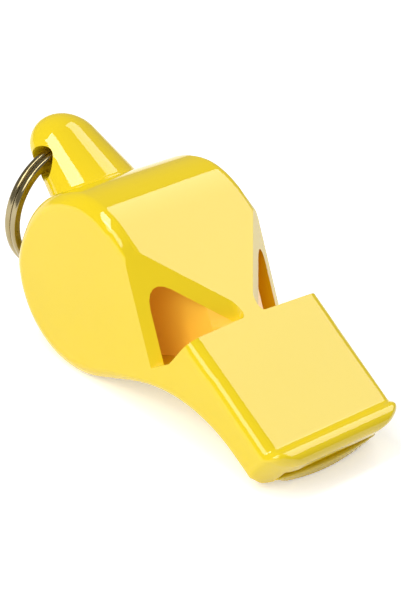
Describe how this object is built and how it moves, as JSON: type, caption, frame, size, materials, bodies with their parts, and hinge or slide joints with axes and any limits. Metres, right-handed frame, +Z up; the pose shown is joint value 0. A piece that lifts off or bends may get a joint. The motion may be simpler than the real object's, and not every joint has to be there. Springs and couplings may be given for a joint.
{
  "type": "whistle",
  "caption": "Pealess sports whistle: round barrel with side windows, flat mouthpiece with a beaded lip, and a split ring hanging in its rear lug.",
  "frame": {"origin": "centre of the bounding box in plan, on the surface that the whistle rests on", "axes": "+X from the lug towards the mouth, +Y across the two side faces, +Z up, with the whistle lying on its belly and its lower lip"},
  "size_m": [0.052, 0.0202, 0.0233],
  "materials": {
    "shell_plastic": "gloss",
    "cover_plastic": "gloss",
    "core_plastic": "gloss",
    "ring_steel": "polished"
  },
  "bodies": {
    "whistle": {"body_shell": "shell_plastic", "base_cover": "cover_plastic", "airway_core": "core_plastic"},
    "ring": {"split_ring": "ring_steel"}
  },
  "joints": [
    {"name": "ring_swing", "type": "hinge", "parent": "whistle", "child": "ring", "pos_m": [-0.02087, 0, 0.01932], "axis": [0, 1, 0], "range_deg": [-7, 251]}
  ]
}
